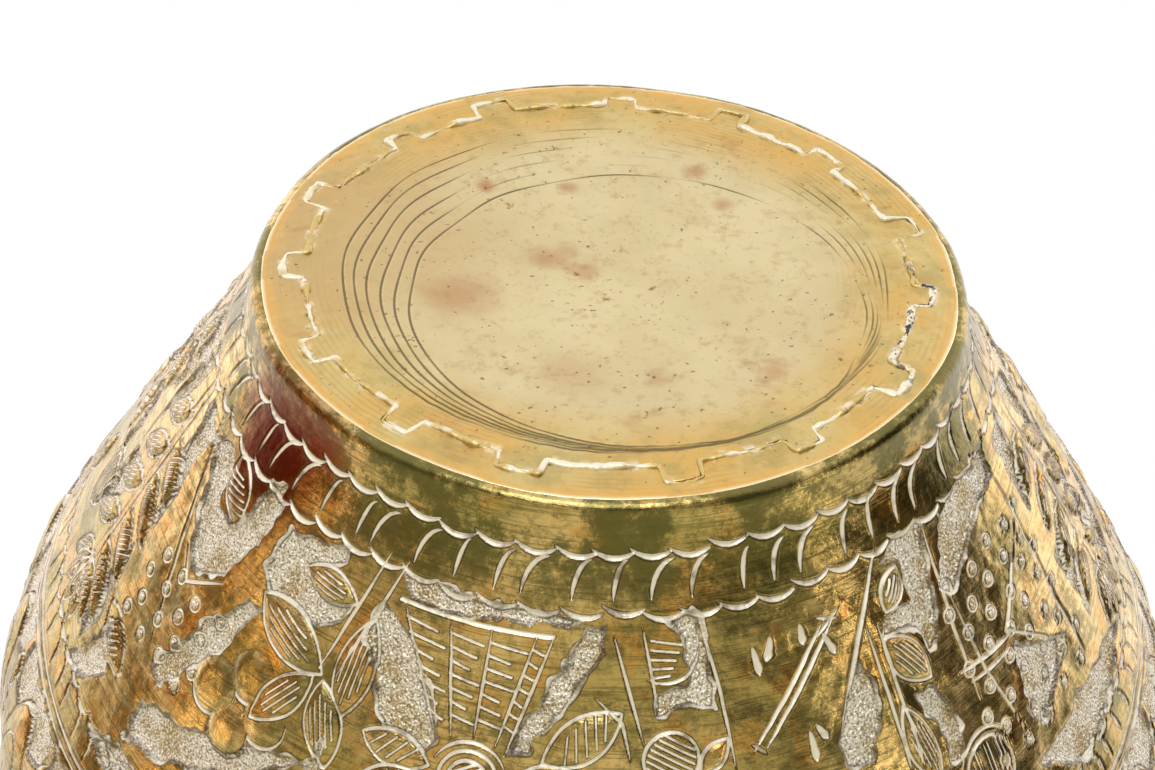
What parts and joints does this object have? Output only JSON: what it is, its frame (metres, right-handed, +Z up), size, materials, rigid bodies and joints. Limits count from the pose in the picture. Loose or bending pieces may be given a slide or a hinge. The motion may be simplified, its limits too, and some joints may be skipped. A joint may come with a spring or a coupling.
{
  "type": "chased brass bowl",
  "caption": "Deep round sheet-brass bowl with chased sides, a flat turned-in foot, a separate cramped base disc and a rolled rim.",
  "frame": {"origin": "centre of the foot, on the surface that the bowl stands on", "axes": "+Z up through the mouth; -Y is the side with the sunburst panel; the side seam is at the back"},
  "size_m": [0.302, 0.302, 0.205],
  "materials": {
    "wall_brass": "polished sheet, chased, with dark patina in the marks and pale stippled grounds",
    "base_brass": "satin, turned, stained",
    "spelter": "pale rough brazing brass",
    "wire": "plain drawn wire, out of sight inside the rim"
  },
  "bodies": {
    "root": {"wall": "wall_brass", "side_seam": "spelter", "base_disc": "base_brass", "base_seam": "spelter", "rim_wire": "wire"}
  },
  "joints": []
}
